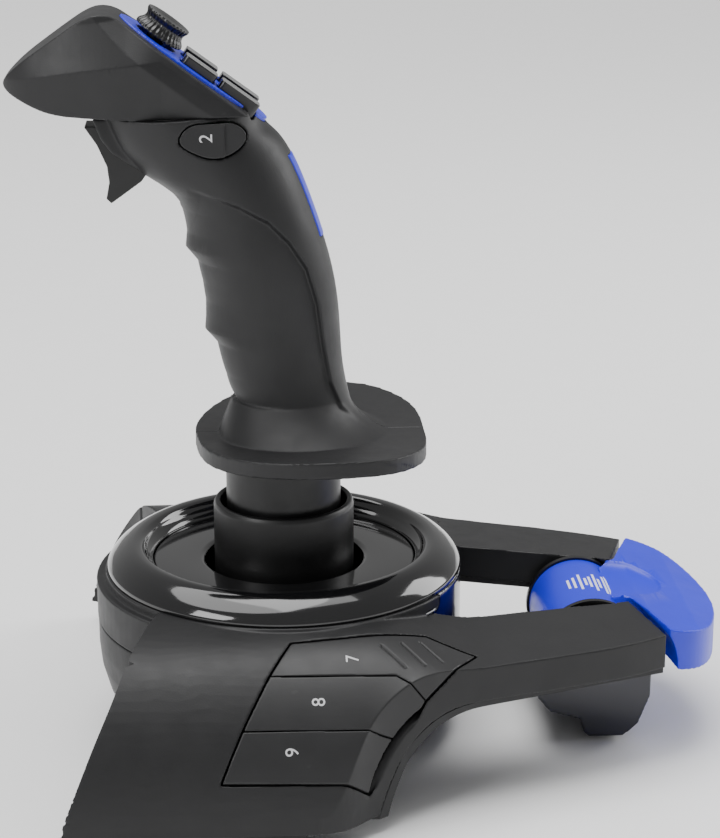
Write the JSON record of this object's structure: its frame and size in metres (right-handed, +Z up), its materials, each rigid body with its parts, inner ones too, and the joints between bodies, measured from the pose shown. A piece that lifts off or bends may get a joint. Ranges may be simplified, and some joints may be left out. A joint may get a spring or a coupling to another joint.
{
  "type": "flight joystick",
  "caption": "Desktop flight joystick: leaning pistol grip with trigger, hat and thumb buttons over a round base with keyed side wings and a rear throttle paddle.",
  "frame": {"origin": "point on the table below the stick's axis, in the plane of the feet", "axes": "+Z up along the stick's axis, +Y away from the user, +X to the user's right"},
  "size_m": [0.1702, 0.2034, 0.2141],
  "materials": {
    "shell_matte": "satin, fine moulded texture",
    "gloss_black": "polished",
    "gloss_navy": "polished",
    "sleeve_black": "satin",
    "accent_blue": "satin",
    "key_dark": "satin, fine moulded texture",
    "thumb_black": "satin",
    "rubber_black": "matte",
    "steel": "brushed",
    "spring_steel": "polished wire",
    "board_green": "solder mask",
    "inner_plastic": "plain"
  },
  "bodies": {
    "base": {"upper_shell": "shell_matte", "hood_cover": "shell_matte", "lower_shell": "gloss_navy", "bezel_ring": "gloss_black", "dish_plate": "gloss_black", "left_wing_cover": "sleeve_black", "right_wing_cover": "sleeve_black", "throttle_pod": "gloss_navy", "throttle_axle": "steel", "gimbal_pedestal": "inner_plastic", "centring_spring": "spring_steel", "pitch_sensor": "inner_plastic", "ballast_plate": "steel", "main_board": "board_green", "base_feet": "rubber_black", "pod_foot": "rubber_black", "base_screws": "steel", "left_wing_pad": "rubber_black", "right_wing_pad": "rubber_black", "left_key_switches": "inner_plastic", "right_key_switches": "inner_plastic"},
    "pitch_yoke": {"gimbal_cross": "inner_plastic"},
    "stick": {"stick_fork": "inner_plastic", "stick_collar": "sleeve_black", "spring_cup": "inner_plastic", "roll_sensor": "inner_plastic", "twist_spindle": "steel"},
    "handle": {"grip_left": "shell_matte", "grip_right": "shell_matte", "head_cap": "shell_matte", "thumb_panel": "accent_blue", "spine_inlay": "accent_blue", "neck_tube": "sleeve_black", "twist_bush": "inner_plastic", "twist_sensor": "inner_plastic", "grip_screws": "steel", "trigger_pin": "steel", "trigger_switch": "inner_plastic", "trigger_spring": "spring_steel", "head_board": "board_green", "hat_socket": "inner_plastic"},
    "trigger": {"trigger": "sleeve_black"},
    "hat_yoke": {"hat_ring": "inner_plastic"},
    "hat": {"hat_knob": "sleeve_black"},
    "throttle": {"throttle_drum": "accent_blue", "throttle_flanges": "sleeve_black", "throttle_paddle": "accent_blue"},
    "button_2": {"thumb_button_2": "key_dark"},
    "button_3": {"thumb_button_3": "thumb_black"},
    "button_4": {"thumb_button_4": "thumb_black"},
    "button_5": {"thumb_button_5": "thumb_black"},
    "button_6": {"thumb_button_6": "thumb_black"},
    "key_7": {"wing_key_7": "key_dark"},
    "key_8": {"wing_key_8": "key_dark"},
    "key_9": {"wing_key_9": "key_dark"},
    "key_10": {"wing_key_10": "key_dark"},
    "key_11": {"wing_key_11": "key_dark"},
    "key_12": {"wing_key_12": "key_dark"}
  },
  "joints": [
    {"name": "stick_pitch", "type": "hinge", "parent": "base", "child": "pitch_yoke", "pos_m": [0, 0, 0.05], "axis": [1, 0, 0], "range_deg": [-13, 13], "stiffness_Nm_per_rad": 1.2, "deforming": ["centring_spring"]},
    {"name": "stick_roll", "type": "hinge", "parent": "pitch_yoke", "child": "stick", "pos_m": [0, 0, 0.05], "axis": [0, 1, 0], "range_deg": [-13, 13], "stiffness_Nm_per_rad": 1.2, "deforming": ["centring_spring"]},
    {"name": "handle_twist", "type": "hinge", "parent": "stick", "child": "handle", "pos_m": [0, 0, 0.05], "axis": [0, 0, 1], "range_deg": [-20, 20], "stiffness_Nm_per_rad": 0.3},
    {"name": "trigger_pull", "type": "hinge", "parent": "handle", "child": "trigger", "pos_m": [0, 0.044, 0.1785], "axis": [-1, 0, 0], "range_deg": [0, 8], "stiffness_Nm_per_rad": 0.12, "deforming": ["trigger_spring"]},
    {"name": "hat_fore_aft", "type": "hinge", "parent": "handle", "child": "hat_yoke", "pos_m": [0, 0.03823, 0.19878], "axis": [1, 0, 0], "range_deg": [-7, 7], "stiffness_Nm_per_rad": 0.06},
    {"name": "hat_side", "type": "hinge", "parent": "hat_yoke", "child": "hat", "pos_m": [0, 0.03823, 0.19878], "axis": [0, 0.8089, 0.5879], "range_deg": [-7, 7], "stiffness_Nm_per_rad": 0.06},
    {"name": "throttle_lift", "type": "hinge", "parent": "base", "child": "throttle", "pos_m": [0, -0.0895, 0.0287], "axis": [-1, 0, 0], "range_deg": [0, 35]},
    {"name": "button_2_press", "type": "slide", "parent": "handle", "child": "button_2", "axis": [0.9929, 0, -0.1191], "range_m": [0, 0.001], "stiffness_N_per_m": 500},
    {"name": "button_3_press", "type": "slide", "parent": "handle", "child": "button_3", "axis": [0, 0.5879, -0.8089], "range_m": [0, 0.001], "stiffness_N_per_m": 500},
    {"name": "button_4_press", "type": "slide", "parent": "handle", "child": "button_4", "axis": [0, 0.5879, -0.8089], "range_m": [0, 0.001], "stiffness_N_per_m": 500},
    {"name": "button_5_press", "type": "slide", "parent": "handle", "child": "button_5", "axis": [0, 0.5879, -0.8089], "range_m": [0, 0.001], "stiffness_N_per_m": 500},
    {"name": "button_6_press", "type": "slide", "parent": "handle", "child": "button_6", "axis": [0, 0.5879, -0.8089], "range_m": [0, 0.001], "stiffness_N_per_m": 500},
    {"name": "key_7_press", "type": "slide", "parent": "base", "child": "key_7", "axis": [0.7071, 0, -0.7071], "range_m": [0, 0.0012], "stiffness_N_per_m": 600},
    {"name": "key_8_press", "type": "slide", "parent": "base", "child": "key_8", "axis": [0.7071, 0, -0.7071], "range_m": [0, 0.0012], "stiffness_N_per_m": 600},
    {"name": "key_9_press", "type": "slide", "parent": "base", "child": "key_9", "axis": [0.7071, 0, -0.7071], "range_m": [0, 0.0012], "stiffness_N_per_m": 600},
    {"name": "key_10_press", "type": "slide", "parent": "base", "child": "key_10", "axis": [-0.7071, 0, -0.7071], "range_m": [0, 0.0012], "stiffness_N_per_m": 600},
    {"name": "key_11_press", "type": "slide", "parent": "base", "child": "key_11", "axis": [-0.7071, 0, -0.7071], "range_m": [0, 0.0012], "stiffness_N_per_m": 600},
    {"name": "key_12_press", "type": "slide", "parent": "base", "child": "key_12", "axis": [-0.7071, 0, -0.7071], "range_m": [0, 0.0012], "stiffness_N_per_m": 600}
  ]
}
